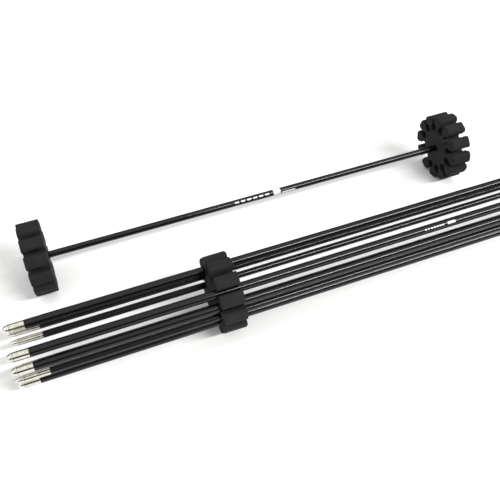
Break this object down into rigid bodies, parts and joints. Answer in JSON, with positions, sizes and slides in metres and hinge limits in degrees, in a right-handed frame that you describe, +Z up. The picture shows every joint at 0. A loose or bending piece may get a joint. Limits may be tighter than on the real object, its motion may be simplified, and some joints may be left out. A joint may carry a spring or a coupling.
{
  "type": "arrow rack set",
  "caption": "Carbon rods with notched foam wheels that hold arrow shafts side by side: one rack loaded with arrows, one empty rack lying behind it.",
  "frame": {"origin": "middle of the bottom of the whole set, on the surface that both racks lie on", "axes": "+X along both racks from the arrows' points to their nocks, +Y from the loaded rack to the empty one, +Z up"},
  "size_m": [0.8454, 0.207, 0.081],
  "materials": {
    "foam": "matte",
    "rod_carbon": "gloss",
    "shaft_carbon": "gloss",
    "ferrule_metal": "polished",
    "point_metal": "polished",
    "nock_plastic": "gloss",
    "vane_plastic": "satin"
  },
  "bodies": {
    "loaded_rack": {"loaded_rod": "rod_carbon", "loaded_front_wheel": "foam"},
    "loaded_rear_wheel": {"loaded_rear_wheel": "foam"},
    "arrow_1": {"arrow_1_shaft": "shaft_carbon", "arrow_1_ferrule": "ferrule_metal", "arrow_1_point": "point_metal", "arrow_1_nock": "nock_plastic", "arrow_1_vanes": "vane_plastic"},
    "arrow_2": {"arrow_2_shaft": "shaft_carbon", "arrow_2_ferrule": "ferrule_metal", "arrow_2_point": "point_metal", "arrow_2_nock": "nock_plastic", "arrow_2_vanes": "vane_plastic"},
    "arrow_3": {"arrow_3_shaft": "shaft_carbon", "arrow_3_ferrule": "ferrule_metal", "arrow_3_point": "point_metal", "arrow_3_nock": "nock_plastic", "arrow_3_vanes": "vane_plastic"},
    "arrow_4": {"arrow_4_shaft": "shaft_carbon", "arrow_4_ferrule": "ferrule_metal", "arrow_4_point": "point_metal", "arrow_4_nock": "nock_plastic", "arrow_4_vanes": "vane_plastic"},
    "arrow_5": {"arrow_5_shaft": "shaft_carbon", "arrow_5_ferrule": "ferrule_metal", "arrow_5_point": "point_metal", "arrow_5_nock": "nock_plastic", "arrow_5_vanes": "vane_plastic"},
    "arrow_6": {"arrow_6_shaft": "shaft_carbon", "arrow_6_ferrule": "ferrule_metal", "arrow_6_point": "point_metal", "arrow_6_nock": "nock_plastic", "arrow_6_vanes": "vane_plastic"},
    "arrow_7": {"arrow_7_shaft": "shaft_carbon", "arrow_7_ferrule": "ferrule_metal", "arrow_7_point": "point_metal", "arrow_7_nock": "nock_plastic", "arrow_7_vanes": "vane_plastic"},
    "arrow_8": {"arrow_8_shaft": "shaft_carbon", "arrow_8_ferrule": "ferrule_metal", "arrow_8_point": "point_metal", "arrow_8_nock": "nock_plastic", "arrow_8_vanes": "vane_plastic"},
    "arrow_9": {"arrow_9_shaft": "shaft_carbon", "arrow_9_ferrule": "ferrule_metal", "arrow_9_point": "point_metal", "arrow_9_nock": "nock_plastic", "arrow_9_vanes": "vane_plastic"},
    "spare_rack": {"spare_rod": "rod_carbon"},
    "spare_front_wheel": {"spare_front_wheel": "foam"},
    "spare_rear_wheel": {"spare_rear_wheel": "foam"}
  },
  "joints": [
    {"name": "loaded_rear_wheel_slide", "type": "slide", "parent": "loaded_rack", "child": "loaded_rear_wheel", "axis": [1, 0, 0], "range_m": [-0.15, 0]},
    {"name": "arrow_1_slide", "type": "slide", "parent": "loaded_rack", "child": "arrow_1", "axis": [1, 0, 0], "range_m": [-0.03, 0.18]},
    {"name": "arrow_2_slide", "type": "slide", "parent": "loaded_rack", "child": "arrow_2", "axis": [1, 0, 0], "range_m": [-0.03, 0.18]},
    {"name": "arrow_3_slide", "type": "slide", "parent": "loaded_rack", "child": "arrow_3", "axis": [1, 0, 0], "range_m": [-0.03, 0.18]},
    {"name": "arrow_4_slide", "type": "slide", "parent": "loaded_rack", "child": "arrow_4", "axis": [1, 0, 0], "range_m": [-0.03, 0.18]},
    {"name": "arrow_5_slide", "type": "slide", "parent": "loaded_rack", "child": "arrow_5", "axis": [1, 0, 0], "range_m": [-0.03, 0.18]},
    {"name": "arrow_6_slide", "type": "slide", "parent": "loaded_rack", "child": "arrow_6", "axis": [1, 0, 0], "range_m": [-0.03, 0.18]},
    {"name": "arrow_7_slide", "type": "slide", "parent": "loaded_rack", "child": "arrow_7", "axis": [1, 0, 0], "range_m": [-0.03, 0.18]},
    {"name": "arrow_8_slide", "type": "slide", "parent": "loaded_rack", "child": "arrow_8", "axis": [1, 0, 0], "range_m": [-0.03, 0.18]},
    {"name": "arrow_9_slide", "type": "slide", "parent": "loaded_rack", "child": "arrow_9", "axis": [1, 0, 0], "range_m": [-0.03, 0.18]},
    {"name": "spare_rack_lift", "type": "slide", "parent": "loaded_rack", "child": "spare_rack", "axis": [0, 0, 1], "range_m": [0, 0.12]},
    {"name": "spare_front_wheel_turn", "type": "hinge", "parent": "spare_rack", "child": "spare_front_wheel", "pos_m": [-0.37825, 0.063, 0.0405], "axis": [1, 0, 0], "continuous": true},
    {"name": "spare_rear_wheel_slide", "type": "slide", "parent": "spare_rack", "child": "spare_rear_wheel", "axis": [1, 0, 0], "range_m": [-0.15, 0]}
  ]
}
